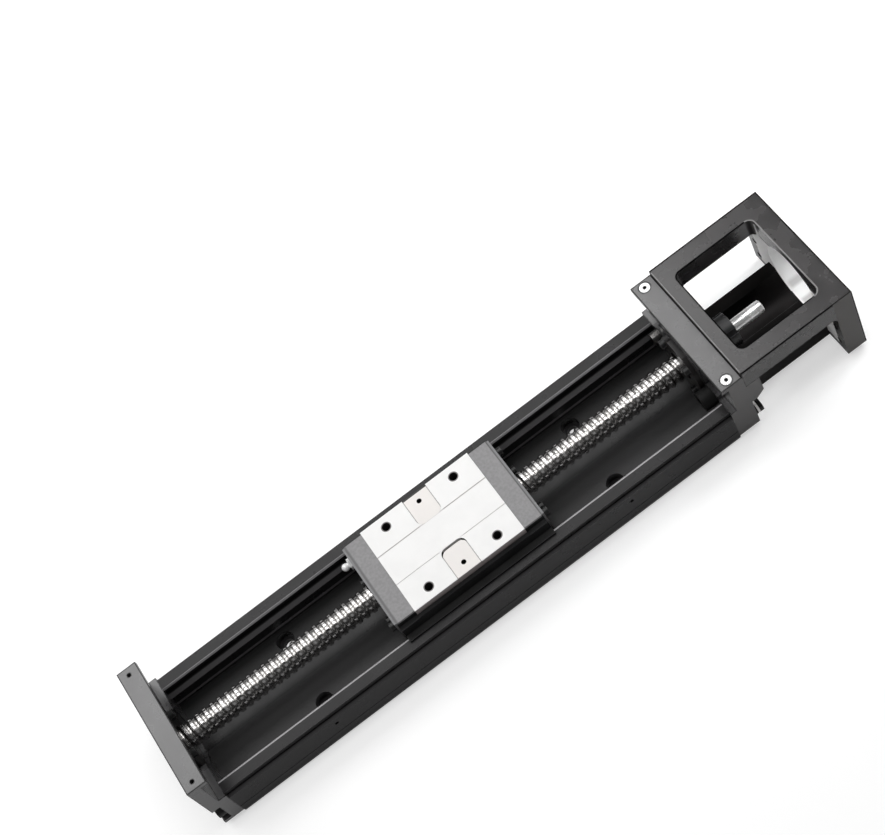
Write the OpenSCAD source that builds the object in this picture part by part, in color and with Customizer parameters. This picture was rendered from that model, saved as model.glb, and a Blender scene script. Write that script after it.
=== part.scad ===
// Ball screw linear module: an open U-rail, a threaded shaft between two end
// blocks, a guided carriage and a windowed motor bracket at the +X end.
// Millimetres. +X runs along the shaft to the motor end, +Z is up, and the
// origin is the bottom centre of the bounding box.

/* [Rail] */
// Length of the U-rail between the end blocks
rail_length = 340; // [240:100:740]
// Width over the rail's lower side bands
rail_width = 86; // [60:1:130]
// Height of the rail from its base to its top lips
rail_height = 29.2; // [20:0.1:45]
// Thickness of the rail's floor
floor_height = 10; // [6:0.5:16]
// Distance between the inner faces of the top lips
lip_gap = 66.4; // [50:0.1:80]
// Distance between the lower inner walls
trough_gap = 61; // [46:0.5:74]
// Spacing of the floor bolts along the rail
floor_bolt_pitch = 100; // [50:10:200]
// Spacing of the floor bolts across the rail
floor_bolt_gauge = 46; // [30:1:60]
// Distance from the rail's ends to its first floor bolts
floor_bolt_margin = 70; // [20:5:100]
// Diameter of the floor bolt clearance holes
floor_bolt_hole = 6.6; // [4.5:0.1:9]
// Diameter of the floor bolt counterbores
floor_bolt_counterbore = 11; // [8:0.5:15]
// Depth of the floor bolt counterbores
floor_counterbore_depth = 6.4; // [3:0.1:8]
// Diameter of the tapped holes in the rail's sides
side_hole = 2.5; // [2:0.1:4.2]
// Height of the tapped holes in the rail's sides
side_hole_height = 19; // [10:1:24]

/* [Shaft] */
// Height of the shaft's axis
axis_height = 29.6; // [20:0.1:45]
// Diameter of the thread
thread_diameter = 15; // [8:1:25]
// Diameter of the bearing journals
journal_diameter = 10; // [6:1:20]
// Diameter of the drive journal in the bracket's window
drive_diameter = 8; // [5:1:14]
// Position of the drive journal's free end
drive_end = 185; // [170:1:200]

/* [Bearings] */
// Outside diameter of the paired bearings at the motor end
front_bearing_diameter = 26; // [20:1:40]
// Width of each bearing at the motor end
front_bearing_width = 8; // [6:1:12]
// Outside diameter of the bearing at the rear end
rear_bearing_diameter = 19; // [16:1:32]
// Width of the bearing at the rear end
rear_bearing_width = 5; // [4:1:6]
// Diameter of the bearing balls
bearing_ball = 3; // [2:0.1:5]

/* [Rear block] */
// Length of the rear end block along the shaft
rear_length = 12.4; // [10:0.1:20]
// Thickness of the rear end block's upright under its top plate
rear_upright = 7.7; // [7:0.1:9]
// Height of the end block's underside above the rail's base
block_base = 3.9; // [0:0.1:8]
// Height of the end block's top
block_top = 55.7; // [45:0.1:70]
// Diameter of the two cover holes in the block's top
cover_hole = 2.5; // [2:0.1:3]

/* [Front block] */
// Length of the block's full width, from the rail's end
strip_length = 13.7; // [10:0.1:20]
// Length of the bearing boss from the rail's end
boss_length = 22.5; // [18:0.5:30]

/* [Motor bracket] */
// Length of the block and the bracket together along the shaft
motor_end_length = 87; // [60:1:120]
// Height of the bracket's top
bracket_top = 58.9; // [50:0.1:75]
// Underside of the window frame
frame_base = 44.5; // [38:0.5:50]
// Length of the window along the shaft
window_length = 52.3; // [30:0.1:80]
// Width of the window
window_width = 62.6; // [40:0.1:74]
// Corner radius of the window
window_radius = 4; // [1:0.5:10]
// Thickness of the end flange
flange_length = 12.5; // [6:0.5:20]
// Diameter of the motor bore in the end flange
motor_bore = 46; // [22:0.5:50]
// Spacing of the flange holes across the bracket
flange_hole_gauge = 74; // [40:1:78]
// Spacing of the flange holes in height
flange_hole_rise = 15.5; // [8:0.5:36]
// Diameter of the tapped flange holes
flange_hole = 4.2; // [2.5:0.1:6.8]
// Width of the tray under the window
tray_width = 52; // [30:1:70]
// Height of the tray's rims
tray_top = 18.4; // [12:0.1:24]
// Radius of the tray's trough about the shaft
trough_radius = 21; // [14:0.5:24]

/* [Carriage] */
// Position of the carriage's centre at rest
carriage_centre = -29.9; // [-130:0.1:70]
// Length of the steel carriage block
carriage_length = 73.6; // [50:0.1:110]
// Width of the carriage's top
carriage_width = 59.8; // [40:0.1:70]
// Height of the carriage's top face
carriage_top = 42.9; // [36:0.1:60]
// Spacing of the carriage bolts both ways
carriage_bolt_pitch = 46; // [30:1:60]
// Diameter of the tapped carriage holes
carriage_hole = 5; // [3.3:0.1:8.5]
// Depth of the tapped carriage holes
carriage_hole_depth = 11; // [6:0.5:16]
// Length of each end cap
cap_length = 13.4; // [8:0.1:20]
// Width of the two inlaid tongues
tongue_width = 16; // [8:0.5:24]
// Distance of the tongues' inner ends from the centre line
tongue_inner = 10; // [4:0.5:16]
// Diameter of the small hole in each tongue
tongue_hole = 3; // [1:0.1:5]
// Diameter of the carriage's guide balls
guide_ball = 4; // [2:0.1:6]

/* [Clearances] */
// Air between faces that slide past each other
running_gap = 0.3; // [0.1:0.05:0.6]
// Air between a screw's shank and its hole
shank_gap = 0.05; // [0.02:0.01:0.1]
// Air between a bearing ring and its seat
seat_gap = 0.02; // [0.01:0.01:0.05]

/* [Hidden] */
$fn = 48;
cut = 1;
ring_gap = 0.05;
half_width = rail_width / 2;
half_length = (rear_length + rail_length + motor_end_length) / 2;
rail_start = rear_length - half_length;
rail_end = rail_start + rail_length;
bracket_end = rail_end + motor_end_length;
lip_side = half_width - 2;
lip_step = 24.5;
lip_groove_top = 26.5;
lip_groove_depth = 0.8;
lip_edge = 0.8;
foot_line = 9.3;
foot_line_size = 0.6;
foot_chamfer_height = 3.4;
foot_chamfer = 1;
ledge_top = 23.2;
ledge_base = 21;
row_y = 32.5;
row_z = 25.3;
row_groove = guide_ball / 2 + running_gap;
row_count = 16;
row_pitch = guide_ball + running_gap;
side_hole_depth = 6;
screw_y = 38;
screw_z = 11.5;
screw_shank = 5;
screw_head = 8.5;
screw_head_length = 5;
screw_socket = 4;
screw_reach = 14;
tip_gap = 2;
small_screw_reach = 9;
cap_thread_reach = 8;
retainer_screw_reach = small_screw_reach - 1;
strip_screw_reach = 8;
rear_screw_length = rear_length - screw_head_length + screw_reach - tip_gap;
small_head = 5.5;
small_head_length = 3;
small_shank = 3;
small_socket = 2.5;
rear_face = -half_length + rear_upright;
rear_seat = rear_face - running_gap;
rear_bearing_start = rear_seat - rear_bearing_width;
rear_relief = 17;
rear_relief_start = -half_length + 0.8;
rear_plate = 2;
plate_margin = 1.1;
rear_plate_diameter = 2 * (axis_height - floor_height - plate_margin);
rear_clearance = rear_plate_diameter + 2;
rear_tap_depth = rear_upright - 1.4;
rear_screw_circle = rear_plate_diameter / 2 - 3.5;
rear_screw_angle = 25;
rear_screw_y = rear_screw_circle * cos(rear_screw_angle);
rear_screw_rise = rear_screw_circle * sin(rear_screw_angle);
rear_notch_top = screw_z + screw_head + 2.5;
top_plate = 3;
cover_hole_y = 38.2;
cover_hole_setback = 6;
cover_hole_x = -half_length + cover_hole_setback;
cover_hole_depth = 9;
front_seat = rail_end + 0.5;
front_bearing_end = front_seat + 2 * front_bearing_width;
boss_end = rail_end + boss_length;
boss_hole = 21;
front_plate = 3;
front_plate_diameter = 37.4;
front_plate_reach = axis_height - floor_height - 2 * plate_margin;
front_screw_offset = 11.3;
front_recess = 4;
front_boss_half = front_plate_diameter / 2 + 0.5;
front_boss_top = axis_height + front_plate_reach;
front_ledge = axis_height + 1.9;
collar_diameter = 17;
collar_end = boss_end + 1.5;
nut_diameter = 21;
nut_width = 8;
nut_end = collar_end + nut_width;
thread_start = rear_face + running_gap;
thread_end = rail_end - 1;
shoulder_diameter = 12.6;
strip_end = rail_end + strip_length;
pocket_inner = 30;
pocket_top = 27;
boss_cheek = 31;
cheek_x = strip_end + 3.7;
frame_corner = 4;
flange_start = bracket_end - flange_length;
window_start = boss_end;
strip_screw_setback = 6.6;
strip_screw_x = rail_end + strip_screw_setback;
strip_screw_y = 38.3;
strip_screw_head = 6.4;
strip_screw_height = 2.2;
strip_hole_depth = strip_screw_height + strip_screw_reach + tip_gap;
front_screw_length = strip_length + screw_reach - tip_gap;
flange_hole_low = 12;
bumper_diameter = 12;
bumper_length = 8;
bumper_y = 25;
bumper_z = axis_height - 1.6;
stop_head = 8;
stop_length = 5.4;
stop_shank = 4;
carriage_start = carriage_centre - carriage_length / 2;
carriage_stop = carriage_centre + carriage_length / 2;
half_carriage = carriage_width / 2;
carriage_base = 12;
wing_y = 31.8;
wing_low = 23;
wing_high = 27.6;
inner_y = 29.8;
inner_z = 20.9;
skirt_z = 15;
skirt_y = 26;
nut_bore = thread_diameter + 2 * running_gap;
line_y = 10.2;
line_size = 0.4;
tongue_depth = 4;
tongue_gap = 0.1;
tongue_radius = 4;
tongue_slot = 1.5;
tongue_bore_depth = 6;
cap_top = 42.15;
cap_plate = 1.6;
cap_half = 29;
scraper = 1.2;
cap_body_length = cap_length - scraper;
cap_low_half = 29.2;
cap_base = 12.6;
cap_shoulder_half = 32.2;
cap_shoulder_low = rail_height + 1.3;
cap_shoulder_high = 37.4;
cap_screw_y = 23.7;
cap_screw_rise = 3.4;
cap_screw_z = axis_height + cap_screw_rise;
cap_low_screw_y = 14.4;
cap_low_screw_drop = 6.6;
cap_low_screw_z = axis_height - cap_low_screw_drop;
nipple_reach = 5;
nipple_hex = 7;
strip_high = 38;
strip_outer = 32.2;
seal_inner = 31;
seal_outer = 36.5;
seal_low = rail_height + running_gap;
seal_high = cap_shoulder_low;

// ---- helpers ----

module box(x0, x1, y0, y1, z0, z1) {
    translate([x0, y0, z0])
        cube([x1 - x0, y1 - y0, z1 - z0]);
}

// A round bar along X from x0 to x1, centred on (y, z).
module bar(x0, x1, d, y = 0, z = axis_height) {
    translate([x0, y, z])
        rotate([0, 90, 0])
            cylinder(h = x1 - x0, d = d);
}

module ring(x0, x1, outer, inner) {
    difference() {
        bar(x0, x1, outer);
        bar(x0 - cut, x1 + cut, inner);
    }
}

// Extrudes a section drawn in (y, z) along X.
module along(x0, x1) {
    translate([x0, 0, 0])
        rotate([90, 0, 90])
            linear_extrude(height = x1 - x0)
                children();
}

module both_sides() {
    children();
    mirror([0, 1, 0])
        children();
}

// A socket-head screw along X; its head starts at x and faces side.
module socket_screw(x, y, z, side, head, head_length, shank, reach, socket) {
    translate([x, y, z])
        rotate([0, 90 * side, 0])
            difference() {
                union() {
                    cylinder(h = head_length, d = head);
                    translate([0, 0, -reach])
                        cylinder(h = reach + 0.5, d = shank);
                }
                translate([0, 0, head_length / 2])
                    cylinder(h = head_length, d = socket, $fn = 6);
            }
}

module bearing_outer(x0, width, outer) {
    race = (outer + journal_diameter) / 2;
    difference() {
        bar(x0 + ring_gap, x0 + width - ring_gap, outer - 2 * seat_gap);
        bar(x0 - cut, x0 + width + cut, race + bearing_ball * 0.5);
        race_groove(x0 + width / 2, race);
    }
}

module bearing_inner(x0, width, outer) {
    race = (outer + journal_diameter) / 2;
    difference() {
        bar(x0 + ring_gap, x0 + width - ring_gap, race - bearing_ball * 0.5);
        bar(x0 - cut, x0 + width + cut, journal_diameter + 2 * shank_gap);
        race_groove(x0 + width / 2, race);
    }
}

module race_groove(x, race) {
    translate([x, 0, axis_height])
        rotate([0, 90, 0])
            rotate_extrude()
                translate([race / 2, 0])
                    circle(d = bearing_ball + 2 * running_gap, $fn = 24);
}

module bearing_ball_ring(x, outer, count) {
    race = (outer + journal_diameter) / 2;
    for (i = [0 : count - 1])
        translate([x, 0, axis_height])
            rotate([i * 360 / count, 0, 0])
                translate([0, race / 2, 0])
                    sphere(d = bearing_ball);
}

// ---- fixed frame ----

module rail_half_section() {
    difference() {
        polygon([
            [-0.01, 0],
            [half_width - foot_chamfer, 0],
            [half_width, foot_chamfer_height],
            [half_width, foot_line - foot_line_size / 2],
            [half_width - foot_line_size, foot_line],
            [half_width, foot_line + foot_line_size / 2],
            [half_width, lip_step],
            [lip_side - lip_groove_depth, lip_step],
            [lip_side - lip_groove_depth, lip_groove_top],
            [lip_side, lip_groove_top],
            [lip_side, rail_height],
            [lip_gap / 2 + lip_edge, rail_height],
            [lip_gap / 2, rail_height - lip_edge],
            [lip_gap / 2, ledge_top],
            [trough_gap / 2, ledge_base],
            [trough_gap / 2, floor_height],
            [-0.01, floor_height]
        ]);
        translate([row_y, row_z])
            circle(r = row_groove);
    }
}

module base_rail() {
    color([0.2, 0.2, 0.21])
        difference() {
            along(rail_start, rail_end)
                union() {
                    rail_half_section();
                    mirror([1, 0])
                        rail_half_section();
                }
            for (x = [rail_start + floor_bolt_margin : floor_bolt_pitch : rail_end - floor_bolt_margin])
                for (y = [-floor_bolt_gauge / 2, floor_bolt_gauge / 2]) {
                    translate([x, y, -cut])
                        cylinder(h = floor_height + 2 * cut, d = floor_bolt_hole);
                    translate([x, y, floor_height - floor_counterbore_depth])
                        cylinder(h = floor_counterbore_depth + cut, d = floor_bolt_counterbore);
                }
            for (x = [rail_start + floor_bolt_margin, rail_end - floor_bolt_margin])
                both_sides()
                    translate([x, half_width - side_hole_depth, side_hole_height])
                        rotate([-90, 0, 0])
                            cylinder(h = side_hole_depth + cut, d = side_hole);
            both_sides() {
                bar(rail_start - cut, rail_start + screw_reach, screw_shank, screw_y, screw_z);
                bar(rail_end - screw_reach, rail_end + cut, screw_shank, screw_y, screw_z);
            }
        }
}

// The upright is thinner than the plate on top of it and the foot below it.
module rear_end_block() {
    color([0.26, 0.26, 0.27])
        difference() {
            union() {
                box(-half_length, rear_face, -half_width, half_width, block_base, block_top);
                box(rear_face - cut, rail_start, -half_width, half_width, block_base, rail_height);
                box(rear_face - cut, rail_start, -half_width, half_width, block_top - top_plate, block_top);
            }
            bar(rear_bearing_start, rear_face + cut, rear_bearing_diameter);
            bar(rear_relief_start, rear_face, rear_relief);
            bar(rear_face, rail_start + cut, rear_clearance);
            both_sides() {
                bar(-half_length - cut, rail_start + cut, screw_shank + 0.5, screw_y, screw_z);
                bar(-half_length - cut, -half_length + screw_head_length, screw_head + 1, screw_y, screw_z);
                box(-half_length - cut, -half_length + screw_head_length, screw_y, half_width + cut,
                    screw_z - screw_head / 2 - 0.5, rear_notch_top);
                translate([cover_hole_x, cover_hole_y, block_top - cover_hole_depth])
                    cylinder(h = cover_hole_depth + cut, d = cover_hole);
                bar(rear_face - rear_tap_depth, rear_face + cut, small_shank, rear_screw_y,
                    axis_height + rear_screw_rise);
            }
        }
}

module rear_bearing_outer() {
    color([0.7, 0.7, 0.72])
        bearing_outer(rear_bearing_start, rear_bearing_width, rear_bearing_diameter);
}

module rear_bearing_retainer() {
    color([0.22, 0.22, 0.23])
        difference() {
            bar(rear_face, rear_face + rear_plate, rear_plate_diameter);
            bar(rear_face - cut, rear_face + rear_plate + cut, thread_diameter + 2);
            both_sides()
                bar(rear_face - cut, rear_face + rear_plate + cut, small_shank + 0.4,
                    rear_screw_y, axis_height + rear_screw_rise);
        }
}

module rear_retainer_screws() {
    color([0.75, 0.75, 0.76])
        both_sides()
            socket_screw(rear_face + rear_plate, rear_screw_y, axis_height + rear_screw_rise, 1,
                small_head, small_head_length, small_shank - 2 * shank_gap,
                rear_plate + rear_tap_depth - cut, small_socket);
}

module rear_block_screws() {
    color([0.1, 0.1, 0.1])
        both_sides()
            socket_screw(-half_length + screw_head_length, screw_y, screw_z, -1, screw_head,
                screw_head_length, screw_shank - 2 * shank_gap, rear_screw_length, screw_socket);
}

module front_block_solid() {
    difference() {
        box(rail_end, strip_end, -half_width, half_width, block_base, block_top);
        front_recess_cut();
    }
    box(strip_end - cut, boss_end, -pocket_inner, pocket_inner, block_base, frame_base);
    both_sides()
        translate([0, half_width, 0])
            rotate([90, 0, 0])
                linear_extrude(height = half_width - pocket_inner + cut)
                    polygon([
                        [strip_end - cut, pocket_top],
                        [cheek_x, pocket_top],
                        [boss_end, boss_cheek],
                        [boss_end, frame_base],
                        [strip_end - cut, frame_base]
                    ]);
}

// The space under the top plate, round the boss that holds the bearings.
module front_recess_cut() {
    box(rail_end - cut, rail_end + front_recess, -half_width - cut, half_width + cut,
        front_boss_top, block_top - top_plate);
    both_sides() {
        box(rail_end - cut, rail_end + front_recess, front_boss_half, half_width + cut,
            front_ledge, block_top - top_plate);
        box(rail_end - cut, rail_end + front_recess, trough_gap / 2, half_width + cut,
            rail_height, block_top - top_plate);
    }
}

module front_end_block() {
    color([0.26, 0.26, 0.27])
        difference() {
            front_block_solid();
            bar(rail_end - cut, front_bearing_end, front_bearing_diameter);
            bar(front_bearing_end - cut, boss_end + cut, boss_hole);
            both_sides() {
                bar(rail_end - cut, strip_end + cut, screw_shank + 0.5, screw_y, screw_z);
                for (rise = [-front_screw_offset, front_screw_offset])
                    bar(rail_end - cut, rail_end + small_screw_reach, small_shank, front_screw_offset,
                        axis_height + rise);
                bar(rail_end - cut, rail_end + small_screw_reach, stop_shank, bumper_y, bumper_z);
                translate([strip_screw_x, strip_screw_y, block_top - strip_hole_depth])
                    cylinder(h = strip_hole_depth + cut, d = small_shank);
                translate([strip_screw_x, strip_screw_y, block_top - strip_screw_height])
                    cylinder(h = strip_screw_height + cut, d = strip_screw_head + 0.6);
            }
        }
}

module bracket_solid() {
    box(strip_end, bracket_end, -half_width, half_width, frame_base, bracket_top);
    box(flange_start, bracket_end, -half_width, half_width, block_base, frame_base + cut);
    box(boss_end, flange_start + cut, -tray_width / 2, tray_width / 2, block_base, tray_top);
    both_sides()
        corner_web();
}

// The rounded inner corner where the window frame turns down into the flange.
module corner_web() {
    translate([flange_start - frame_corner, half_width, frame_base - frame_corner])
        rotate([90, 0, 0])
            linear_extrude(height = half_width - window_width / 2)
                difference() {
                    square([frame_corner + cut, frame_corner + cut]);
                    circle(r = frame_corner);
                }
}

module window_cut() {
    translate([window_start, 0, frame_base - cut])
        linear_extrude(height = bracket_top - frame_base + 2 * cut)
            union() {
                translate([0, -window_width / 2 + window_radius])
                    square([window_length, window_width - 2 * window_radius]);
                translate([window_radius, -window_width / 2])
                    square([window_length - 2 * window_radius, window_width]);
                for (x = [window_radius, window_length - window_radius])
                    for (y = [-window_width / 2 + window_radius, window_width / 2 - window_radius])
                        translate([x, y])
                            circle(r = window_radius);
            }
}

module motor_bracket() {
    color([0.24, 0.24, 0.25])
        difference() {
            bracket_solid();
            window_cut();
            bar(boss_end - cut, flange_start + cut, 2 * trough_radius);
            bar(flange_start - cut, bracket_end + cut, motor_bore);
            both_sides()
                for (z = [flange_hole_low, flange_hole_low + flange_hole_rise])
                    bar(flange_start - cut, bracket_end + cut, flange_hole, flange_hole_gauge / 2, z);
        }
}

module front_bearing_outers() {
    color([0.7, 0.7, 0.72])
        for (i = [0, 1])
            bearing_outer(front_seat + i * front_bearing_width, front_bearing_width, front_bearing_diameter);
}

module front_bearing_retainer() {
    color([0.16, 0.16, 0.17])
        difference() {
            intersection() {
                bar(rail_end - front_plate, rail_end, front_plate_diameter);
                box(rail_end - front_plate - cut, rail_end + cut, -front_plate_diameter, front_plate_diameter,
                    axis_height - front_plate_reach, axis_height + front_plate_reach);
            }
            bar(rail_end - front_plate - cut, rail_end + cut, thread_diameter + 3);
            both_sides()
                for (rise = [-front_screw_offset, front_screw_offset])
                    bar(rail_end - front_plate - cut, rail_end + cut, small_shank + 0.4,
                        front_screw_offset, axis_height + rise);
        }
}

module front_retainer_screws() {
    color([0.75, 0.75, 0.76])
        both_sides()
            for (rise = [-front_screw_offset, front_screw_offset])
                socket_screw(rail_end - front_plate, front_screw_offset, axis_height + rise, -1,
                    small_head, small_head_length, small_shank - 2 * shank_gap,
                    front_plate + retainer_screw_reach, small_socket);
}

module front_block_screws() {
    color([0.1, 0.1, 0.1])
        both_sides()
            socket_screw(strip_end, screw_y, screw_z, 1, screw_head, screw_head_length,
                screw_shank - 2 * shank_gap, front_screw_length, screw_socket);
}

module strip_screws() {
    color([0.85, 0.85, 0.86])
        both_sides()
            translate([strip_screw_x, strip_screw_y, block_top - strip_screw_height])
                difference() {
                    union() {
                        cylinder(h = strip_screw_height, d = strip_screw_head);
                        translate([0, 0, -strip_screw_reach])
                            cylinder(h = strip_screw_reach + 0.5, d = small_shank - 2 * shank_gap);
                    }
                    translate([0, 0, strip_screw_height - 1.6])
                        cylinder(h = 2, d = small_socket, $fn = 6);
                }
}

module bumper() {
    color([0.04, 0.04, 0.04])
        difference() {
            bar(rail_end - bumper_length, rail_end, bumper_diameter, -bumper_y, bumper_z);
            bar(rail_end - bumper_length - cut, rail_end - bumper_length / 2, small_head,
                -bumper_y, bumper_z);
        }
}

module stop_screw() {
    color([0.8, 0.8, 0.8])
        socket_screw(rail_end, bumper_y, bumper_z, -1, stop_head, stop_length,
            stop_shank - 2 * shank_gap, retainer_screw_reach, screw_socket);
}

// ---- turning shaft ----

module ball_screw() {
    color([0.8, 0.8, 0.8])
        union() {
            bar(thread_start, thread_end, thread_diameter);
            bar(rear_relief_start + 0.4, thread_start + cut, journal_diameter);
            bar(thread_end - cut, front_seat, shoulder_diameter);
            bar(front_seat - cut, nut_end + 0.6, journal_diameter);
            bar(nut_end, drive_end - 0.6, drive_diameter);
            translate([drive_end - 0.6, 0, axis_height])
                rotate([0, 90, 0])
                    cylinder(h = 0.6, d1 = drive_diameter, d2 = drive_diameter - 1.2);
        }
}

module rear_bearing_inner() {
    color([0.7, 0.7, 0.72])
        bearing_inner(rear_bearing_start, rear_bearing_width, rear_bearing_diameter);
}

module rear_bearing_balls() {
    color([0.8, 0.8, 0.8])
        bearing_ball_ring(rear_bearing_start + rear_bearing_width / 2, rear_bearing_diameter, 10);
}

module rear_snap_ring() {
    color([0.15, 0.15, 0.15])
        ring(rear_bearing_start - 1, rear_bearing_start - 0.1, journal_diameter + 3.4,
            journal_diameter + 2 * shank_gap);
}

module front_bearing_inners() {
    color([0.7, 0.7, 0.72])
        for (i = [0, 1])
            bearing_inner(front_seat + i * front_bearing_width, front_bearing_width, front_bearing_diameter);
}

module front_bearing_balls() {
    color([0.8, 0.8, 0.8])
        for (i = [0, 1])
            bearing_ball_ring(front_seat + (i + 0.5) * front_bearing_width, front_bearing_diameter, 12);
}

module spacer_collar() {
    color([0.5, 0.5, 0.5])
        ring(front_bearing_end, collar_end, collar_diameter, journal_diameter + 2 * shank_gap);
}

module lock_nut() {
    color([0.07, 0.07, 0.07])
        difference() {
            ring(collar_end, nut_end, nut_diameter, journal_diameter + 2 * shank_gap);
            for (a = [45 : 90 : 315])
                translate([0, 0, axis_height])
                    rotate([a, 0, 0])
                        box(collar_end - cut, nut_end + cut, nut_diameter / 2 - 1.6, nut_diameter, -1.7, 1.7);
        }
}

// ---- carriage ----

module carriage_half_section() {
    difference() {
        polygon([
            [-0.01, carriage_base],
            [skirt_y, carriage_base],
            [inner_y, skirt_z],
            [inner_y, inner_z],
            [wing_y, wing_low],
            [wing_y, wing_high],
            [half_carriage, wing_high + 1.6],
            [half_carriage, carriage_top],
            [-0.01, carriage_top]
        ]);
        translate([row_y, row_z])
            circle(r = row_groove);
    }
}

// Outline of an inlaid tongue, from outside the carriage's edge to its round inner end.
module tongue_outline(width, inner, outer) {
    square_start = inner + tongue_radius;
    translate([-width / 2, square_start])
        square([width, outer - square_start]);
    translate([-width / 2 + tongue_radius, inner])
        square([width - 2 * tongue_radius, outer - inner]);
    for (x = [-width / 2 + tongue_radius, width / 2 - tongue_radius])
        translate([x, square_start])
            circle(r = tongue_radius);
}

module carriage_block() {
    half_pitch = carriage_bolt_pitch / 2;
    color([0.9, 0.9, 0.89])
        difference() {
            along(carriage_start, carriage_stop)
                union() {
                    carriage_half_section();
                    mirror([1, 0])
                        carriage_half_section();
                }
            bar(carriage_start - cut, carriage_stop + cut, nut_bore);
            for (x = [carriage_centre - half_pitch, carriage_centre + half_pitch])
                for (y = [-half_pitch, half_pitch])
                    translate([x, y, carriage_top - carriage_hole_depth])
                        cylinder(h = carriage_hole_depth + cut, d = carriage_hole);
            both_sides() {
                translate([carriage_centre, 0, carriage_top - tongue_depth])
                    linear_extrude(height = tongue_depth + cut)
                        tongue_outline(tongue_width, tongue_inner, half_carriage + cut);
                translate([carriage_centre, cap_screw_y, carriage_top - tongue_depth - tongue_bore_depth])
                    cylinder(h = tongue_bore_depth + cut, d = tongue_hole);
                for (x = [carriage_start - cut, carriage_stop - cap_thread_reach]) {
                    bar(x, x + cap_thread_reach + cut, small_shank, cap_low_screw_y, cap_low_screw_z);
                    bar(x, x + cap_thread_reach + cut, small_shank, cap_screw_y, cap_screw_z);
                }
            }
            for (side = [-1, 1])
                for (x = [carriage_start - cut, carriage_centre + tongue_width / 2])
                    box(x, x + carriage_length / 2 - tongue_width / 2 + cut,
                        side * line_y - line_size / 2, side * line_y + line_size / 2,
                        carriage_top - line_size, carriage_top + cut);
        }
}

module tongue(inner) {
    difference() {
        translate([carriage_centre, 0, carriage_top - tongue_depth])
            linear_extrude(height = tongue_depth - tongue_gap)
                tongue_outline(tongue_width - 2 * tongue_gap, inner, half_carriage - tongue_gap);
        translate([carriage_centre, cap_screw_y, carriage_top - tongue_depth - cut])
            cylinder(h = tongue_depth + 2 * cut, d = tongue_hole);
    }
}

module return_tongues() {
    color([0.88, 0.86, 0.85])
        union() {
            tongue(tongue_inner + tongue_gap);
            mirror([0, 1, 0])
                tongue(tongue_inner + tongue_slot);
        }
}

// Draws a cap piece at the front end, or turned round to the rear end.
module at_end(side) {
    translate([carriage_centre, 0, 0])
        mirror([side > 0 ? 0 : 1, 0, 0])
            translate([carriage_length / 2, 0, 0])
                children();
}

module end_cap(side) {
    color([0.42, 0.42, 0.43])
        at_end(side)
            box(0, cap_body_length, -cap_half, cap_half, cap_top - cap_plate, cap_top);
}

module end_body(side) {
    color([0.06, 0.06, 0.06])
        at_end(side)
            difference() {
                union() {
                    box(0, cap_body_length, -cap_low_half, cap_low_half, cap_base, cap_shoulder_low + cut);
                    box(0, cap_body_length, -cap_shoulder_half, cap_shoulder_half, cap_shoulder_low,
                        cap_shoulder_high);
                    box(0, cap_body_length, -cap_half, cap_half, cap_shoulder_high - cut,
                        cap_top - cap_plate);
                }
                bar(-cut, cap_body_length + cut, thread_diameter + 2);
                both_sides() {
                    bar(-cut, cap_body_length + cut, small_shank + 0.4, cap_screw_y, cap_screw_z);
                    bar(-cut, cap_body_length + cut, small_shank + 0.4, cap_low_screw_y, cap_low_screw_z);
                }
            }
}

module scraper(side) {
    color([0.5, 0.5, 0.51])
        at_end(side)
            difference() {
                box(cap_body_length, cap_length, -cap_half + 0.4, cap_half - 0.4, cap_base, cap_top - 0.2);
                bar(cap_body_length - cut, cap_length + cut, thread_diameter + 2);
                both_sides() {
                    bar(cap_body_length - cut, cap_length + cut, small_shank + 0.4, cap_screw_y, cap_screw_z);
                    bar(cap_body_length - cut, cap_length + cut, small_shank + 0.4,
                        cap_low_screw_y, cap_low_screw_z);
                }
            }
}

module cap_screw(y, z) {
    socket_screw(cap_length, y, z, 1, small_head, small_head_length, small_shank - 2 * shank_gap,
        cap_length + cap_thread_reach - tip_gap, small_socket);
}

module cap_screws_front() {
    color([0.78, 0.78, 0.79])
        at_end(1)
            both_sides() {
                cap_screw(cap_screw_y, cap_screw_z);
                cap_screw(cap_low_screw_y, cap_low_screw_z);
            }
}

module cap_screws_rear() {
    color([0.78, 0.78, 0.79])
        at_end(-1) {
            both_sides()
                cap_screw(cap_low_screw_y, cap_low_screw_z);
            cap_screw(-cap_screw_y, cap_screw_z);
        }
}

module grease_nipple() {
    color([0.85, 0.85, 0.86])
        at_end(-1)
            union() {
                bar(-nipple_reach, cap_length + 0.2, small_shank - 2 * shank_gap, cap_screw_y, cap_screw_z);
                translate([cap_length, cap_screw_y, cap_screw_z])
                    rotate([0, 90, 0])
                        cylinder(h = 2, d = nipple_hex, $fn = 6);
                bar(cap_length + 1.5, cap_length + 4, 3.4, cap_screw_y, cap_screw_z);
                translate([cap_length + 4.4, cap_screw_y, cap_screw_z])
                    sphere(d = 4.6);
            }
}

module side_strip_far() {
    color([0.06, 0.06, 0.06])
        box(carriage_start, carriage_stop, half_carriage, strip_outer, cap_shoulder_low, strip_high);
}

module side_strip_near() {
    mirror([0, 1, 0])
        side_strip_far();
}

module side_seal_far() {
    color([0.05, 0.05, 0.05])
        box(carriage_start - cap_body_length, carriage_stop + cap_body_length, seal_inner, seal_outer,
            seal_low, seal_high);
}

module side_seal_near() {
    mirror([0, 1, 0])
        side_seal_far();
}

module ball_row_far() {
    first = carriage_centre - (row_count - 1) * row_pitch / 2;
    color([0.85, 0.85, 0.86])
        for (i = [0 : row_count - 1])
            translate([first + i * row_pitch, row_y, row_z])
                sphere(d = guide_ball);
}

module ball_row_near() {
    mirror([0, 1, 0])
        ball_row_far();
}

module end_cap_rear() {
    end_cap(-1);
}

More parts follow.
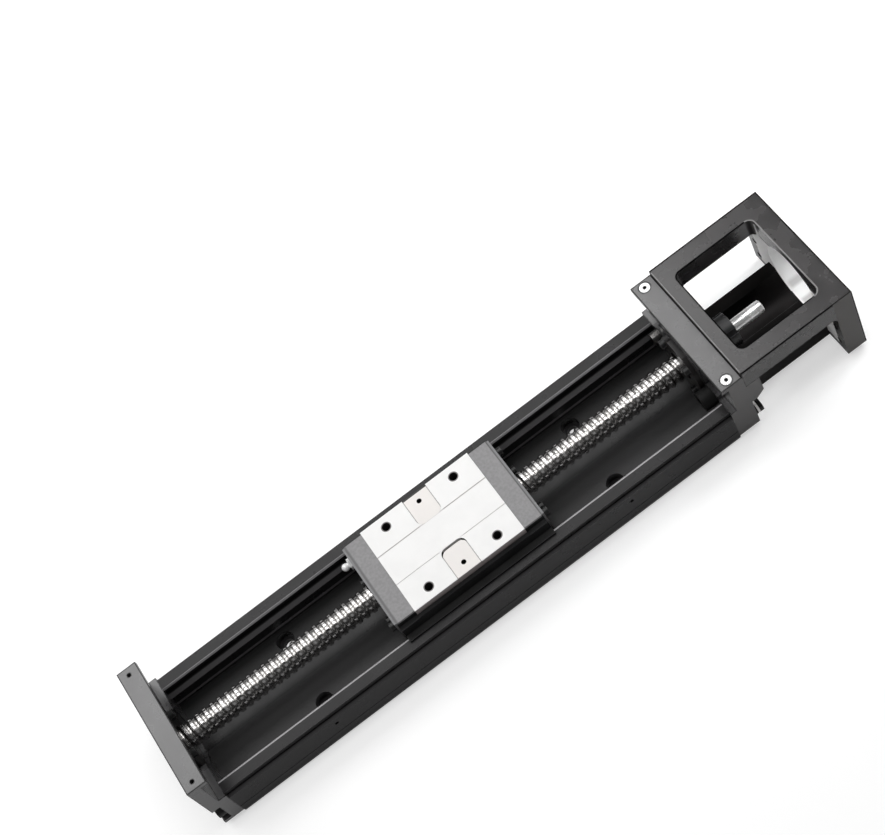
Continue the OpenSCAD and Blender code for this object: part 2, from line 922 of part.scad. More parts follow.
module end_cap_front() {
    end_cap(1);
}

module end_body_rear() {
    end_body(-1);
}

module end_body_front() {
    end_body(1);
}

module scraper_rear() {
    scraper(-1);
}

module scraper_front() {
    scraper(1);
}

base_rail();
rear_end_block();
rear_bearing_outer();
rear_bearing_retainer();
rear_retainer_screws();
rear_block_screws();
front_end_block();
motor_bracket();
front_bearing_outers();
front_bearing_retainer();
front_retainer_screws();
front_block_screws();
strip_screws();
bumper();
stop_screw();
ball_screw();
rear_bearing_inner();
rear_bearing_balls();
rear_snap_ring();
front_bearing_inners();
front_bearing_balls();
spacer_collar();
lock_nut();
carriage_block();
return_tongues();
end_cap_rear();
end_cap_front();
end_body_rear();
end_body_front();
scraper_rear();
scraper_front();
cap_screws_rear();
cap_screws_front();
side_strip_near();
side_strip_far();
side_seal_near();
side_seal_far();
ball_row_near();
ball_row_far();
grease_nipple();
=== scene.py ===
"""Dresses, lights and frames an open ball screw linear module.

The solids of the rail, the end blocks, the motor bracket and the carriage come
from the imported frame. This file gives every one of them a finish, draws the
rolled thread and the journals that the plain shaft stands for, and sets the
camera and the lights. Lengths are metres, +X runs along the shaft to the motor
end and +Z is up.
"""

import logging
import math
from dataclasses import dataclass
from enum import Enum

import bpy
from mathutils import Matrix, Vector


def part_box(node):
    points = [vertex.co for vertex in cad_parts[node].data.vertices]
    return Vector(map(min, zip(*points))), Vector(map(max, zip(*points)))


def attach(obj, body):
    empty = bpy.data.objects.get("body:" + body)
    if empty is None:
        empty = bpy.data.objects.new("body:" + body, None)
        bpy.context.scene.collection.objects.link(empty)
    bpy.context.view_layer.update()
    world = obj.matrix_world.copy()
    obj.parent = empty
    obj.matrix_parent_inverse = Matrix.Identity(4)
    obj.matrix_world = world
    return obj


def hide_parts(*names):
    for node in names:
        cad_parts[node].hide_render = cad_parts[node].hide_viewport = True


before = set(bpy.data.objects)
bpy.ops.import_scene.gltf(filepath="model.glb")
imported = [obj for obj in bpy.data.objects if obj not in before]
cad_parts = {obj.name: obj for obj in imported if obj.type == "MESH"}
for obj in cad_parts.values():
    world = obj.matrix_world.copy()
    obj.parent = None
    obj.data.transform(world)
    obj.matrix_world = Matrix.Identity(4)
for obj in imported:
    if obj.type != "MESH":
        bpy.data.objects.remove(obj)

log = logging.getLogger("linear_module")

MM = 0.001
Colour = tuple[float, float, float]
Point = tuple[float, float, float]
Range = tuple[float, float]
Node = bpy.types.Node
NodeTree = bpy.types.NodeTree
Socket = bpy.types.NodeSocket
Material = bpy.types.Material


class Body(Enum):
    """The moving bodies that pieces ride on."""

    SCREW = "screw"


class Blend(Enum):
    """What a Mix node blends: its data type, then its two inputs and its output by index."""

    NUMBER = ("FLOAT", 2, 3, 0)
    COLOUR = ("RGBA", 6, 7, 2)


class Tree:
    """Adds and links nodes in one node tree."""

    def __init__(self, tree: NodeTree) -> None:
        """Starts on an existing tree.

        Args:
            tree: The node tree to fill.
        """
        self.tree = tree

    def add(self, kind: str, **settings: object) -> Node:
        """Adds a node.

        Args:
            kind: The node's type name.
            settings: Attributes to set on it.

        Returns:
            The new node.
        """
        node = self.tree.nodes.new(kind)
        for name, value in settings.items():
            setattr(node, name, value)
        return node

    def feed(self, socket: Socket, value: object) -> None:
        """Links a socket into an input, or writes a plain value on it.

        Args:
            socket: The input to fill.
            value: An output socket, a number or a tuple.
        """
        if isinstance(value, Socket):
            self.tree.links.new(value, socket)
        elif isinstance(value, tuple) and len(value) == 3 and socket.type == "RGBA":
            socket.default_value = (*value, 1.0)
        else:
            socket.default_value = value

    def math(self, operation: str, a: object, b: object = 0.0, clamp: bool = False) -> Socket:
        """Adds a Math node.

        Args:
            operation: The Math node's operation.
            a: First input.
            b: Second input.
            clamp: Whether the result is held between 0 and 1.

        Returns:
            The result's socket.
        """
        node = self.add("ShaderNodeMath", operation=operation, use_clamp=clamp)
        self.feed(node.inputs[0], a)
        self.feed(node.inputs[1], b)
        return node.outputs[0]

    def distance(self, a: object, b: object, centre: Range) -> Socket:
        """Measures how far two coordinates lie from a centre.

        Args:
            a: First coordinate.
            b: Second coordinate.
            centre: The centre's two coordinates.

        Returns:
            The distance's socket.
        """
        first = self.math("SUBTRACT", a, centre[0])
        second = self.math("SUBTRACT", b, centre[1])
        squares = (self.math("MULTIPLY", first, first), self.math("MULTIPLY", second, second))
        return self.math("SQRT", self.math("ADD", *squares))

    def span(
        self, value: object, low: float, high: float, to_low: float = 0.0, to_high: float = 1.0
    ) -> Socket:
        """Adds a smooth Map Range node.

        Args:
            value: The value to map.
            low: Where the source range starts.
            high: Where the source range ends.
            to_low: What the start maps to.
            to_high: What the end maps to.

        Returns:
            The result's socket.
        """
        node = self.add("ShaderNodeMapRange", interpolation_type="SMOOTHSTEP")
        for socket, item in zip(node.inputs, (value, low, high, to_low, to_high)):
            self.feed(socket, item)
        return node.outputs[0]

    def mix(self, factor: object, a: object, b: object, blend: Blend = Blend.COLOUR) -> Socket:
        """Adds a Mix node.

        Args:
            factor: The share of the second input.
            a: First input.
            b: Second input.
            blend: Whether colours or numbers are mixed.

        Returns:
            The mixture's socket.
        """
        kind, first, second, result = blend.value
        node = self.add("ShaderNodeMix", data_type=kind)
        self.feed(node.inputs[0], factor)
        self.feed(node.inputs[first], a)
        self.feed(node.inputs[second], b)
        return node.outputs[result]

    def place(self, stretch: Point = (1.0, 1.0, 1.0)) -> Socket:
        """Gives the object's own coordinates, stretched along each axis.

        Args:
            stretch: The factor on each axis.

        Returns:
            The vector's socket.
        """
        source = self.add("ShaderNodeTexCoord").outputs["Object"]
        node = self.add("ShaderNodeMapping")
        self.feed(node.inputs["Vector"], source)
        node.inputs["Scale"].default_value = stretch
        return node.outputs[0]

    def noise(self, where: Socket, scale: object, detail: float) -> Socket:
        """Adds a Noise Texture node.

        Args:
            where: The vector it is read at.
            scale: How fine it is.
            detail: How many finer layers it has.

        Returns:
            The noise value's socket.
        """
        node = self.add("ShaderNodeTexNoise")
        self.feed(node.inputs["Vector"], where)
        self.feed(node.inputs["Scale"], scale)
        node.inputs["Detail"].default_value = detail
        return node.outputs[0]

    def group(self, effect: NodeTree, **values: object) -> Node:
        """Places an effect group.

        Args:
            effect: The group's node tree.
            values: Its inputs by name, with underscores for spaces.

        Returns:
            The group node.
        """
        node = self.add("ShaderNodeGroup")
        node.node_tree = effect
        for name, value in values.items():
            self.feed(node.inputs[name.replace("_", " ")], value)
        return node


class Effects:
    """The surface effects that several finishes share, one node group each."""

    def __init__(self) -> None:
        """Builds every group once."""
        self.grain = self._grain()
        self.edge_wear_shade = self._edge_wear()
        self.drawn_lines = self._drawn_lines()
        self.band = self._band()

    @staticmethod
    def _start(
        name: str, inputs: dict[str, float], outputs: tuple[str, ...]
    ) -> tuple[Tree, Node, Node]:
        """Makes an empty group with its sockets.

        Args:
            name: The group's name.
            inputs: Float inputs and their defaults.
            outputs: Float outputs.

        Returns:
            The tree, its input node and its output node.
        """
        group = bpy.data.node_groups.new(name, "ShaderNodeTree")
        number = "NodeSocketFloat"
        for label, value in inputs.items():
            socket = group.interface.new_socket(name=label, in_out="INPUT", socket_type=number)
            socket.default_value = value
        for label in outputs:
            group.interface.new_socket(name=label, in_out="OUTPUT", socket_type=number)
        tree = Tree(group)
        return tree, tree.add("NodeGroupInput"), tree.add("NodeGroupOutput")

    def _grain(self) -> NodeTree:
        """Fine cast or blasted grain: a height and a slow blotch.

        Returns:
            The effect's group.
        """
        tree, given, out = self._start(
            "fine_grain", {"Scale": 3000.0, "Blotch Scale": 60.0}, ("Height", "Blotch")
        )
        where = tree.place()
        fine = tree.noise(where, given.outputs["Scale"], detail=3.0)
        slow = tree.noise(where, given.outputs["Blotch Scale"], detail=4.0)
        tree.feed(out.inputs["Height"], fine)
        tree.feed(out.inputs["Blotch"], slow)
        return tree.tree

    def _edge_wear(self) -> NodeTree:
        """A mask along outer edges, broken up by noise, for wear and for painted edge shade.

        Returns:
            The effect's group.
        """
        tree, given, out = self._start("edge_wear_shade", {"Radius": 0.0004, "Reach": 0.12}, ("Mask",))
        bevel = tree.add("ShaderNodeBevel", samples=8)
        tree.feed(bevel.inputs["Radius"], given.outputs["Radius"])
        flat = tree.add("ShaderNodeNewGeometry")
        dot = tree.add("ShaderNodeVectorMath", operation="DOT_PRODUCT")
        tree.feed(dot.inputs[0], bevel.outputs[0])
        tree.feed(dot.inputs[1], flat.outputs["Normal"])
        turn = tree.math("SUBTRACT", 1.0, dot.outputs["Value"])
        edge = tree.math("DIVIDE", turn, given.outputs["Reach"], clamp=True)
        chips = tree.noise(tree.place(), scale=420.0, detail=5.0)
        broken = tree.span(chips, low=0.38, high=0.62, to_low=0.35)
        tree.feed(out.inputs["Mask"], tree.math("MULTIPLY", edge, broken, clamp=True))
        return tree.tree

    def _drawn_lines(self) -> NodeTree:
        """Fine lines that run along X, as grinding or drawing leaves them.

        Returns:
            The effect's group.
        """
        tree, given, out = self._start("drawn_lines", {"Scale": 2500.0}, ("Height",))
        where = tree.place(stretch=(0.02, 1.0, 1.0))
        tree.feed(out.inputs["Height"], tree.noise(where, given.outputs["Scale"], detail=4.0))
        return tree.tree

    def _band(self) -> NodeTree:
        """A mask that is 1 where a value lies between two limits.

        Returns:
            The effect's group.
        """
        inputs = {"Value": 0.0, "Low": 0.0, "High": 1.0, "Blur": 0.0001}
        tree, given, out = self._start("band_mask", inputs, ("Mask",))
        rise = tree.math("SUBTRACT", given.outputs["Value"], given.outputs["Low"])
        fall = tree.math("SUBTRACT", given.outputs["High"], given.outputs["Value"])
        inside = tree.math("MINIMUM", rise, fall)
        near = tree.math("DIVIDE", inside, given.outputs["Blur"], clamp=True)
        tree.feed(out.inputs["Mask"], near)
        return tree.tree


@dataclass(frozen=True)
class Finish:
    """One surface finish and how it varies.

    Attributes:
        name: The material's name.
        colour: Its main colour, linear.
        wear_and_shade: The colour on the edges: lighter for wear, dark for painted shade on rounded
            edges.
        rough: Its mean roughness.
        rough_swing: How far the roughness varies with the blotches.
        metal: 1 for bare metal, 0 for coatings and plastics.
        colour_swing: How far the colour varies, as a share.
        grain: Scale of the fine grain.
        bump: Height of the grain.
        lines: Height of lines along X, or 0.
        wear: How strongly the edge colour shows: wear on most finishes, painted shade on the
            dark-edged coats.
        coat: Weight of a clear coat.
        coat_rough: The clear coat's roughness.
        gloss: Strength of the reflection, 0.5 for a plain plastic.
        mottle: Scale of the blotches.
        blotches: The part of the blotches' noise that a swing covers.
        edge: Width of the edges that take the edge colour.
        edge_fade: How soon they fade out, small for a wide even line.
    """

    name: str
    colour: Colour
    wear_and_shade: Colour = (0.35, 0.35, 0.36)
    rough: float = 0.4
    rough_swing: float = 0.08
    metal: float = 0.0
    colour_swing: float = 0.12
    grain: float = 3000.0
    bump: float = 0.00002
    lines: float = 0.0
    wear: float = 0.4
    coat: float = 0.0
    coat_rough: float = 0.18
    gloss: float = 0.5
    mottle: float = 70.0
    blotches: Range = (0.3, 0.7)
    edge: float = 0.0004
    edge_fade: float = 0.12

    def colour_source(self, tree: Tree, blotch: Socket) -> Socket:
        """Gives the colour before wear.

        Args:
            tree: The material's tree.
            blotch: The slow blotch value.

        Returns:
            The colour's socket.
        """
        low = tuple(c * (1.0 - self.colour_swing) for c in self.colour)
        high = tuple(min(1.0, c * (1.0 + self.colour_swing)) for c in self.colour)
        return tree.mix(tree.span(blotch, *self.blotches), low, high)

    def metal_source(self, tree: Tree, wear_and_shade: object) -> object:
        """Gives the metallic value, which the edge mask raises.

        Args:
            tree: The material's tree.
            wear_and_shade: The edge mask, for wear and for painted edge shade.

        Returns:
            A socket, or a plain number where wear raises nothing.
        """
        if self.metal >= 1.0 or self.wear <= 0.0:
            return self.metal
        return tree.math("MAXIMUM", wear_and_shade, self.metal)

    def rough_source(self, tree: Tree, blotch: Socket) -> Socket:
        """Gives the roughness, which follows the blotches."""
        swing = (self.rough - self.rough_swing, self.rough + self.rough_swing)
        return tree.span(blotch, *self.blotches, *swing)

    def build(self, effects: Effects) -> Material:
        """Builds the material.

        Args:
            effects: The shared effect groups.

        Returns:
            The new material.
        """
        material = bpy.data.materials.new(self.name)
        material.use_nodes = True
        material.node_tree.nodes.clear()
        tree = Tree(material.node_tree)
        shader = tree.add("ShaderNodeBsdfPrincipled")
        grain = tree.group(effects.grain, Scale=self.grain, Blotch_Scale=self.mottle)
        blotch = grain.outputs["Blotch"]
        colour = self.colour_source(tree, blotch)
        wear_and_shade: object = 0.0
        if self.wear > 0.0:
            edge = tree.group(effects.edge_wear_shade, Radius=self.edge, Reach=self.edge_fade)
            wear_and_shade = tree.math("MULTIPLY", edge.outputs["Mask"], self.wear, clamp=True)
            colour = tree.mix(wear_and_shade, colour, self.wear_and_shade)
        tree.feed(shader.inputs["Base Color"], colour)
        tree.feed(shader.inputs["Metallic"], self.metal_source(tree, wear_and_shade))
        tree.feed(shader.inputs["Roughness"], self.rough_source(tree, blotch))
        shader.inputs["Specular IOR Level"].default_value = self.gloss
        shader.inputs["Coat Weight"].default_value = self.coat
        shader.inputs["Coat Roughness"].default_value = self.coat_rough
        bump = tree.add("ShaderNodeBump")
        bump.inputs["Distance"].default_value = self.bump
        height: object = grain.outputs["Height"]
        if self.lines > 0.0:
            streak = tree.group(effects.drawn_lines).outputs["Height"]
            streak = tree.math("MULTIPLY", streak, self.lines / self.bump)
            height = tree.math("ADD", height, streak)
        tree.feed(bump.inputs["Height"], height)
        tree.feed(shader.inputs["Normal"], bump.outputs[0])
        out = tree.add("ShaderNodeOutputMaterial")
        tree.feed(out.inputs["Surface"], shader.outputs[0])
        return material


@dataclass(frozen=True)
class Tint:
    """What a strip shows in place of the finish under it.

    Attributes:
        colour: Its colour, linear.
        rough: Its roughness.
        metal: Its metallic value.
    """

    colour: Colour
    rough: float = 0.6
    metal: float = 0.0


@dataclass(frozen=True)
class Strip:
    """A stretch of a surface that has a tint, and the limits that bound it.

    Attributes:
        name: What the stretch is on the module.
        tint: What it shows.
        x: Where it starts and ends on X.
        y: The same on Y.
        z: The same on Z.
        reach: The least and greatest distance from an upright line.
        radius: The least and greatest distance from a line along X.
        centre: Where that line runs.
        one_side: Whether only one side of the module has it.
        blur: How soft its borders are.
    """

    name: str
    tint: Tint
    x: Range | None = None
    y: Range | None = None
    z: Range | None = None
    reach: Range | None = None
    radius: Range | None = None
    centre: Range = (0.0, 0.0)
    one_side: bool = False
    blur: float = 0.0001

    def mask(self, tree: Tree, band: NodeTree, parts: Node, across: Socket) -> Socket:
        """Builds the mask that is 1 inside all its limits.

        Args:
            tree: The material's tree.
            band: The band effect.
            parts: The node that parts the place into X, Y and Z.
            across: The distance from the module's middle plane.

        Returns:
            The mask's socket.
        """
        x, y, z = (parts.outputs[name] for name in "XYZ")
        bounded: list[tuple[Range | None, Socket]] = [
            (self.x, x),
            (self.y, y if self.one_side else across),
            (self.z, z),
        ]
        if self.reach:
            bounded.append((self.reach, tree.distance(x, across, self.centre)))
        if self.radius:
            bounded.append((self.radius, tree.distance(across, z, self.centre)))
        inside: object = 1.0
        for limits, value in bounded:
            if limits:
                low, high = limits
                node = tree.group(band, Value=value, Low=low, High=high, Blur=self.blur)
                node.label = self.name
                inside = tree.math("MULTIPLY", node.outputs["Mask"], inside)
        return inside


@dataclass(frozen=True)
class BandedFinish(Finish):
    """A finish with stretches laid over it: bare machined metal, painted shade and painted
    highlights.

    Attributes:
        strips: The stretches, later ones over earlier ones.
    """

    strips: tuple[Strip, ...] = ()

    def build(self, effects: Effects) -> Material:
        """Builds the finish and lays its strips over it.

        Args:
            effects: The shared effect groups.

        Returns:
            The new material.
        """
        material = super().build(effects)
        tree = Tree(material.node_tree)
        shader = next(n for n in material.node_tree.nodes if n.type == "BSDF_PRINCIPLED")
        parts = tree.add("ShaderNodeSeparateXYZ")
        tree.feed(parts.inputs[0], tree.place())
        across = tree.math("ABSOLUTE", parts.outputs["Y"])
        for strip in self.strips:
            mask = strip.mask(tree, effects.band, parts, across)
            self._lay(tree, shader.inputs["Base Color"], strip.tint.colour, mask, Blend.COLOUR)
            self._lay(tree, shader.inputs["Roughness"], strip.tint.rough, mask, Blend.NUMBER)
            self._lay(tree, shader.inputs["Metallic"], strip.tint.metal, mask, Blend.NUMBER)
        return material

    @staticmethod
    def _lay(tree: Tree, socket: Socket, over: object, mask: Socket, blend: Blend) -> None:
        """Mixes a strip's value over what already feeds an input.

        Args:
            tree: The material's tree.
            socket: The shader's input.
            over: The strip's value.
            mask: The strip's mask.
            blend: Whether it is a colour or a number.
        """
        under = socket.links[0].from_socket if socket.links else socket.default_value
        tree.feed(socket, tree.mix(mask, under, over, blend))


class Palette:
    """Every material of the module, built once and asked for by its finish.

    Attributes:
        round_from: The least angle of an edge that is rounded, in degrees.
        effects: The effects that the materials share.
        built: The materials so far, by name.
    """

    round_from: float = 50.0

    def __init__(self) -> None:
        """Builds the shared effects and an empty store."""
        self.effects = Effects()
        self.built: dict[str, Material] = {}

    def get(self, finish: Finish) -> Material:
        """Gives a finish's material, building it the first time."""
        if finish.name not in self.built:
            self.built[finish.name] = finish.build(self.effects)
        return self.built[finish.name]

    def dress(self, finish: Finish, edge: float, *nodes: str) -> None:
        """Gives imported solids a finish, and a small round on their edges.

        Args:
            finish: Their finish.
            edge: Width of the edge round, or 0 for none.
            nodes: The solids' node names.
        """
        material = self.get(finish)
        for name in nodes:
            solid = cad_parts[name]
            if not solid.material_slots:
                solid.data.materials.append(material)
            for slot in solid.material_slots:
                slot.material = material
            if edge > 0.0:
                bevel = solid.modifiers.new("edge_round", "BEVEL")
                bevel.width = edge
                bevel.segments = 2
                bevel.limit_method = "ANGLE"
                bevel.angle_limit = math.radians(self.round_from)
                bevel.harden_normals = True
            log.info("dressed %s with %s", name, material.name)


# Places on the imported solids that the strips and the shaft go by.
AXIS_HEIGHT = 29.6 * MM
HALF_WIDTH = 0.043
SIDE_FACE = (0.0427, 0.0432)
BLOCK_TOP = 0.0557
BRACKET_TOP = 0.0589
REAR_BAR = (-0.2197, -0.2073)
FRONT_STRIP = (0.1327, 0.1464)
BRACKET = (0.1464, 0.2197)
FLANGE = (0.2073, 0.2196)
BORE_LINE = (0.0, AXIS_HEIGHT)
BORE_WALL = (0.0220, 0.0233)
# Where the painted reflection bands lie across the bore, and their grey.
BORE_REFLECTIONS = (((-0.0060, 0.0020), (0.6, 0.59, 0.59)), ((0.0080, 0.0140), (0.65, 0.64, 0.64)))
WINDOW = (0.1552, 0.2075)
WINDOW_SIDE = 0.0313
WINDOW_RADIUS = 0.004
LIP_TOP = (0.0280, 0.0294)
TROUGH_FLOOR = (0.0090, 0.0104)
BELOW_TOP = (0.01, 0.0427)
CARRIAGE_HOLES = ((-0.0529, 0.023), (-0.0069, 0.023))
TONGUE_HOLE = (-0.0299, 0.0237)
STRIP_SCREW_LINE = (0.1393, 0.0383)

# Just past the middle, so that a soft border doesn't show there.
FROM_CENTRE = -0.001

# How far a painted line of shade or highlight reaches below, above and past the edge it follows.
RIM_BELOW = 0.0005
RIM_ABOVE = 0.0003
RIM_PAST = 0.0002

# Painted shade for rounded edges that turn away from the light.
EDGE_SHADE = (0.008, 0.0075, 0.008)
# Painted shade lines along edges, seams and steps.
SHADE_LINE = Tint((0.004, 0.004, 0.004), 0.5, 1.0)
# Painted highlight lines along edges that catch the light.
HIGHLIGHT_LINE = Tint((0.2, 0.195, 0.195), 0.4, 0.3)
# Painted shade on the chamfer round a hole's mouth.
HOLE_RIM_SHADE = Tint((0.2, 0.19, 0.19))
# Painted shade inside holes.
HOLE_SHADE = Tint((0.03, 0.029, 0.027))
# Painted shade in the gaps between the return tongues and the block.
GAP_SHADE = Tint((0.42, 0.4, 0.39))
# Painted shade for the bore's outer end.
MOUTH_SHADE = Tint((0.012, 0.012, 0.012), 0.4, 0.8)
# Bare aluminium, painted near white so it also stands in for the bore's bright reflection.
BORE_WHITE = Tint((0.97, 0.97, 0.97), 0.4)
# Painted shade for the rail's ball track.
TRACK_SHADE = Tint((0.003, 0.003, 0.003), 0.6, 0.7)
# Painted sheen for the rail's side groove, lighter than the coat.
GROOVE_SHEEN = Tint((0.04, 0.039, 0.04), 0.45)
SCREW_BLACK = (0.012, 0.012, 0.012)


def top_rim(
    ends: Range, top: float, wide: float = 0.0009, with_start: bool = True
) -> tuple[Strip, ...]:
    """Gives the painted shade lines along the edges of a top as wide as the module.

    Args:
        ends: Where the top starts and ends on X.
        top: Its height.
        wide: The lines' width.
        with_start: Whether the edge where it starts has a line.

    Returns:
        One strip for each end and one for both sides.
    """
    level = (top - RIM_BELOW, top + RIM_ABOVE)
    side = (HALF_WIDTH - wide, HALF_WIDTH + RIM_PAST)
    first = Strip("rim_start", SHADE_LINE, x=(ends[0] - RIM_PAST, ends[0] + wide), z=level)
    last = Strip("rim_end", SHADE_LINE, x=(ends[1] - wide, ends[1] + RIM_PAST), z=level)
    sides = Strip("rim_sides", SHADE_LINE, x=ends, y=side, z=level)
    return (first, last, sides) if with_start else (last, sides)


def window_rim(wide: float = 0.0008) -> tuple[Strip, ...]:
    """Gives the painted shade lines around the bracket's window, with painted highlight lines at
    its motor end.

    Args:
        wide: The lines' width.

    Returns:
        The strips along its edges and around its corners.
    """
    level = (BRACKET_TOP - RIM_BELOW, BRACKET_TOP + RIM_ABOVE)
    flat = WINDOW_SIDE - WINDOW_RADIUS
    middle = (FROM_CENTRE, flat)
    side = (WINDOW_SIDE - RIM_PAST, WINDOW_SIDE + wide)
    corner = (flat, WINDOW_SIDE + wide)
    ring = (WINDOW_RADIUS - RIM_PAST, WINDOW_RADIUS + wide)
    left, right = WINDOW[0] + WINDOW_RADIUS, WINDOW[1] - WINDOW_RADIUS
    low, high = WINDOW[0] - wide, WINDOW[1] + wide
    lines = (
        ("window_start", SHADE_LINE, (low, WINDOW[0] + RIM_PAST), middle, None, left),
        ("window_end", HIGHLIGHT_LINE, (WINDOW[1] - RIM_PAST, high), middle, None, right),
        ("window_sides", SHADE_LINE, (left, right), side, None, left),
        ("window_start_corners", SHADE_LINE, (low, left), corner, ring, left),
        ("window_end_corners", HIGHLIGHT_LINE, (right, high), corner, ring, right),
    )
    return tuple(
        Strip(name, tint, x=along, y=across, z=level, reach=reach, centre=(middle_x, flat))
        for name, tint, along, across, reach, middle_x in lines
    )


# Painted shade: the sides below the top, darker than the top of the same steel.
SIDE_SHADE = Strip("flanks", Tint((0.42, 0.375, 0.375), 0.4, 0.6), z=(0.0, 0.0424))

BRACKET_COAT = BandedFinish(
    name="bracket_coat",
    colour=(0.034, 0.032, 0.0325),
    # Painted shade: dark, metallic lines along every rounded edge.
    wear_and_shade=EDGE_SHADE,
    rough=0.27,
    rough_swing=0.03,
    gloss=0.88,
    grain=2600.0,
    bump=0.000008,
    wear=1.0,
    edge=0.0012,
    edge_fade=0.03,
    strips=(
        # Painted shade on the bracket floor seen through the window, metallic so it stays dark.
        Strip(
            "tray",
            Tint((0.016, 0.015, 0.015), 0.35, 1.0),
            x=(0.1552, 0.2072),
            y=(0.0, 0.0315),
            z=(0.0, 0.0444),
        ),
        Strip(
            "flange_inner_face",
            Tint((0.8, 0.79, 0.79), 0.5, 0.1),
            x=(0.2070, 0.2075),
            y=(0.0, 0.036),
            z=(0.008, 0.056),
        ),
        # The bore: bare aluminium whose near white is partly painted reflection.
        Strip("bore_wall", BORE_WHITE, x=FLANGE, radius=BORE_WALL, centre=BORE_LINE),
        # Painted reflections: soft grey bands across the bore.
        *(
            Strip(
                "bore_reflection",
                Tint(grey, 0.4),
                x=FLANGE,
                y=across,
                radius=(0.0200, 0.0260),
                centre=BORE_LINE,
                one_side=True,
                blur=0.002,
            )
            for across, grey in BORE_REFLECTIONS
        ),
        # Painted shade at the bore's outer end.
        Strip("bore_mouth_shade", MOUTH_SHADE, x=(0.2168, 0.2196), radius=BORE_WALL, centre=BORE_LINE),
        *top_rim(BRACKET, BRACKET_TOP, with_start=False),
        *window_rim(),
        # Painted shadow in the step between the front strip and the bracket.
        Strip("seam", SHADE_LINE, x=(0.1460, 0.1466), z=(0.0550, 0.0588)),
        # Painted shade: the leg's side faces darker than its top.
        Strip("leg_side_shade", Tint((0.036, 0.032, 0.029), 0.35, 0.2), x=(0.2072, 0.2199), y=SIDE_FACE),
        # Painted shade line along the leg's outer end.
        Strip("leg_edge", SHADE_LINE, x=(0.2190, 0.2199), y=SIDE_FACE),
        # Painted highlight along the bracket's edge beside the seam.
        Strip(
            "seam_gleam", HIGHLIGHT_LINE, x=(0.1465, 0.1472), y=(FROM_CENTRE, 0.0415), z=(0.0584, 0.0591)
        ),
    ),
)
BLOCK_COAT = BandedFinish(
    name="block_coat",
    colour=(0.05, 0.0485, 0.05),
    # Painted shade: dark, metallic lines along every rounded edge.
    wear_and_shade=EDGE_SHADE,
    rough=0.3,
    rough_swing=0.05,
    gloss=1.0,
    coat=0.6,
    grain=2600.0,
    bump=0.000008,
    wear=1.0,
    edge=0.001,
    edge_fade=0.03,
    strips=(
        # Painted shade: the front block's side faces darker than its top.
        Strip(
            "front_block_side_shade",
            Tint((0.034, 0.031, 0.031), 0.35, 0.4),
            x=(0.1320, 0.1553),
            y=SIDE_FACE,
        ),
        *top_rim(FRONT_STRIP, BLOCK_TOP, 0.0007),
        *top_rim(REAR_BAR, BLOCK_TOP, 0.0006),
    ),
)
RAIL_COAT = BandedFinish(
    name="rail_coat",
    colour=(0.014, 0.0132, 0.014),
    rough=0.3,
    rough_swing=0.04,
    gloss=0.3,
    grain=2400.0,
    bump=0.000012,
    lines=0.000008,
    wear=0.1,
    strips=(
        # Painted highlights on the lips' chamfers.
        Strip("lip_edge_highlights", Tint((0.2, 0.195, 0.2), 0.5, 0.2), y=(0.0330, 0.0344), z=LIP_TOP),
        *(
            Strip(name, tint, y=across, z=height, one_side=True)
            for name, tint, across, height in (
                # Painted highlight, brighter on the near lip.
                ("near_lip_highlight", Tint((0.4, 0.39, 0.4), 0.5, 0.3), (-0.0346, -0.0330), LIP_TOP),
                # Painted highlights on the far wall's foot and ledge, painted shade in its ball
                # track.
                ("wall_foot_highlight", Tint((0.2, 0.19, 0.2), 0.5, 0.2), (0.0303, 0.0307), (0.0120, 0.0142)),
                ("far_ledge_highlight", Tint((0.06, 0.058, 0.06), 0.5), (0.0302, 0.0334), (0.0205, 0.0228)),
                ("ball_track_shade", TRACK_SHADE, (0.0304, 0.0345), (0.0230, 0.0279)),
                # Painted sheen on the near side groove.
                ("side_groove_sheen", GROOVE_SHEEN, (-0.0432, -0.0408), (0.0243, 0.0267)),
                # Painted shade on the far half of the trough floor, a lighter painted sheen on the
                # near half.
                ("far_floor_shade", Tint((0.004, 0.004, 0.004), 0.42), (0.0040, 0.0304), TROUGH_FLOOR),
                ("near_floor_sheen", Tint((0.03, 0.0295, 0.03), 0.4), (-0.0304, -0.0040), TROUGH_FLOOR),
            )
        ),
    ),
)
RETAINER_COAT = Finish(
    name="retainer_coat", colour=(0.016, 0.0145, 0.0145), rough=0.35, gloss=0.3, wear=0.15
)
BLACK_SCREW = Finish(name="black_screw", colour=SCREW_BLACK, rough=0.3, wear=0.3)
THREAD_STEEL = BandedFinish(
    name="thread_steel",
    colour=(0.78, 0.765, 0.76),
    rough=0.2,
    metal=1.0,
    wear=0.0,
    colour_swing=0.05,
    bump=0.000006,
    strips=(
        # Painted shade: the ball groove drawn darker than the lands, which dims its highlight.
        Strip(
            "groove",
            Tint((0.62, 0.605, 0.59), 0.24, 1.0),
            x=(-0.2116, 0.1316),
            radius=(0.0, 0.00728),
            centre=BORE_LINE,
        ),
    ),
)
JOURNAL_STEEL = Finish(
    name="journal_steel",
    colour=(0.95, 0.945, 0.94),
    rough=0.24,
    metal=0.72,
    wear=0.0,
    bump=0.000001,
)
STOP_STEEL = Finish(
    name="stop_steel",
    colour=(0.2, 0.195, 0.19),
    wear_and_shade=(0.7, 0.7, 0.7),
    rough=0.3,
    metal=1.0,
    wear=0.3,
)
BLOCK_SCREW = BandedFinish(
    name="block_screw",
    colour=SCREW_BLACK,
    rough=0.3,
    gloss=0.3,
    wear=0.3,
    # Painted highlight: a bright ring on the black screw heads.
    strips=(Strip("head_ring_highlight", Tint((0.9, 0.89, 0.88), 0.4, 0.1), x=(0.1476, 0.1490)),),
)
